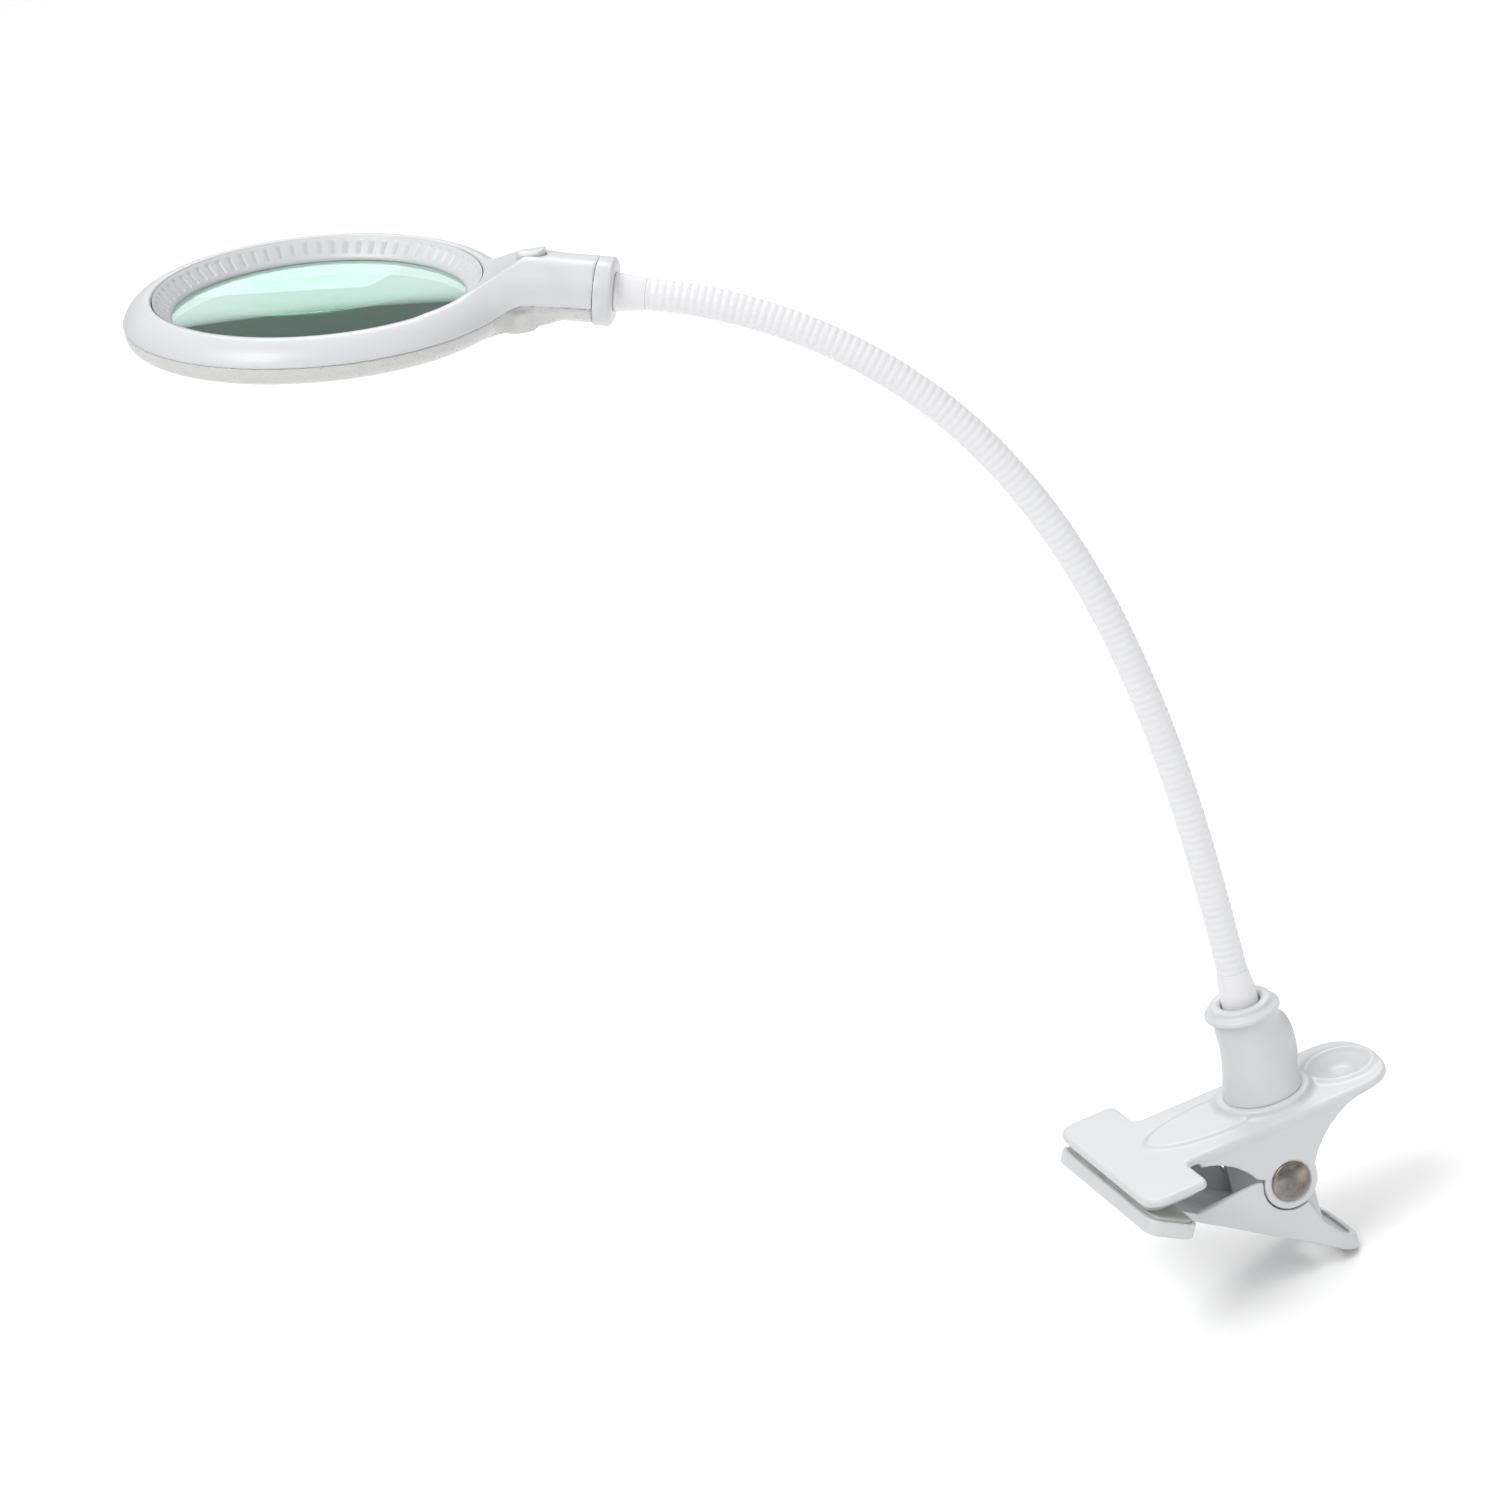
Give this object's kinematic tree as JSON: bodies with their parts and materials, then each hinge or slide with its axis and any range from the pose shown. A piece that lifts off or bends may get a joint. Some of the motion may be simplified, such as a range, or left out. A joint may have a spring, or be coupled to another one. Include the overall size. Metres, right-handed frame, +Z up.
{
  "type": "clip-on magnifying lamp",
  "caption": "Magnifying lamp with a round lens inside a ring light, on a flexible gooseneck that rises from a spring clip with padded jaws and a finger lever.",
  "frame": {"origin": "centre of the upper jaw pad's gripping face, level with the clip's middle plane", "axes": "+X from the jaws back towards the finger lever, +Z up out of the clip along the post, +Y completes the right-handed set; the neck leans towards -X and +Y"},
  "size_m": [0.3017, 0.2041, 0.4062],
  "materials": {
    "housing_white": "satin",
    "sleeve_white": "soft satin, ribbed",
    "jaw_pad_grey": "soft translucent",
    "rivet_nickel": "brushed",
    "spring_steel": "drawn wire",
    "gooseneck_steel": "wound strip",
    "screw_steel": "plated",
    "lens_glass": "polished, faint green tint",
    "bezel_white": "satin, ribbed",
    "diffuser_frost": "frosted translucent",
    "board_white": "solder mask",
    "led_phosphor": "cast resin",
    "inlet_black": "moulded",
    "switch_black": "moulded",
    "chip_black": "moulded",
    "lead_white": "insulated"
  },
  "bodies": {
    "clip_and_post": {"clip_upper_shell": "housing_white", "upper_jaw_pad": "jaw_pad_grey", "pivot_pin": "rivet_nickel", "pivot_caps": "rivet_nickel", "torsion_spring": "spring_steel", "post": "housing_white", "post_screws": "screw_steel", "post_collar": "housing_white", "base_ferrule": "housing_white", "post_leads": "lead_white", "dc_jack": "inlet_black"},
    "lower_jaw": {"clip_lower_shell": "housing_white", "lower_jaw_pad": "jaw_pad_grey"},
    "neck_1": {"neck_sleeve_1": "sleeve_white", "neck_core_1": "gooseneck_steel", "neck_leads_1": "lead_white"},
    "neck_2": {"neck_sleeve_2": "sleeve_white", "neck_core_2": "gooseneck_steel", "neck_leads_2": "lead_white"},
    "neck_3": {"neck_sleeve_3": "sleeve_white", "neck_core_3": "gooseneck_steel", "neck_leads_3": "lead_white"},
    "neck_4": {"neck_sleeve_4": "sleeve_white", "neck_core_4": "gooseneck_steel", "neck_leads_4": "lead_white"},
    "neck_5": {"neck_sleeve_5": "sleeve_white", "neck_core_5": "gooseneck_steel", "neck_leads_5": "lead_white"},
    "neck_6": {"neck_sleeve_6": "sleeve_white", "neck_core_6": "gooseneck_steel", "neck_leads_6": "lead_white"},
    "neck_7": {"neck_sleeve_7": "sleeve_white", "neck_core_7": "gooseneck_steel", "neck_leads_7": "lead_white"},
    "neck_8": {"neck_sleeve_8": "sleeve_white", "neck_core_8": "gooseneck_steel", "neck_leads_8": "lead_white"},
    "head": {"head_top_cover": "housing_white", "head_lower_cover": "diffuser_frost", "lens_bezel": "bezel_white", "lens": "lens_glass", "led_board": "board_white", "leds": "led_phosphor", "handle_end_cap": "housing_white", "head_ferrule": "housing_white", "power_switch": "switch_black", "driver_board": "board_white", "driver_parts": "chip_black", "head_leads": "lead_white", "head_screws": "screw_steel"},
    "button": {"power_button": "housing_white"}
  },
  "joints": [
    {"name": "jaw_hinge", "type": "hinge", "parent": "clip_and_post", "child": "lower_jaw", "pos_m": [0.0448, 0, -0.0171], "axis": [0, -1, 0], "range_deg": [0, 30], "stiffness_Nm_per_rad": 0.8, "springref_deg": -40.11, "deforming": ["torsion_spring"]},
    {"name": "neck_bend_1", "type": "hinge", "parent": "clip_and_post", "child": "neck_1", "pos_m": [0.05, 0, 0.05415], "axis": [-0.4695, -0.8829, 0], "range_deg": [-12, 12]},
    {"name": "neck_sway_2", "type": "hinge", "parent": "neck_1", "child": "neck_2", "pos_m": [0.04952, 0.00026, 0.09315], "axis": [0.8826, -0.4693, 0.0279], "range_deg": [-12, 12]},
    {"name": "neck_bend_3", "type": "hinge", "parent": "neck_2", "child": "neck_3", "pos_m": [0.04739, 0.00139, 0.13206], "axis": [-0.4695, -0.8829, 0], "range_deg": [-12, 12]},
    {"name": "neck_sway_4", "type": "hinge", "parent": "neck_3", "child": "neck_4", "pos_m": [0.04257, 0.00395, 0.17067], "axis": [0.8679, -0.4615, 0.184], "range_deg": [-12, 12]},
    {"name": "neck_bend_5", "type": "hinge", "parent": "neck_4", "child": "neck_5", "pos_m": [0.03389, 0.00856, 0.20838], "axis": [-0.4695, -0.8829, 0], "range_deg": [-12, 12]},
    {"name": "neck_sway_6", "type": "hinge", "parent": "neck_5", "child": "neck_6", "pos_m": [0.01975, 0.01609, 0.24386], "axis": [0.7647, -0.4066, 0.5], "range_deg": [-12, 12]},
    {"name": "neck_bend_7", "type": "hinge", "parent": "neck_6", "child": "neck_7", "pos_m": [-0.00106, 0.02715, 0.2748], "axis": [-0.4695, -0.8829, 0], "range_deg": [-12, 12]},
    {"name": "neck_sway_8", "type": "hinge", "parent": "neck_7", "child": "neck_8", "pos_m": [-0.02788, 0.04141, 0.29913], "axis": [0.4679, -0.2488, 0.848], "range_deg": [-12, 12]},
    {"name": "head_tilt", "type": "hinge", "parent": "neck_8", "child": "head", "pos_m": [-0.05901, 0.05796, 0.31557], "axis": [-0.4695, -0.8829, 0], "range_deg": [-15, 15]},
    {"name": "button_press", "type": "slide", "parent": "head", "child": "button", "axis": [-0.2728, 0.1451, -0.9511], "range_m": [0, 0.001], "stiffness_N_per_m": 150, "springref_m": -0.003}
  ]
}
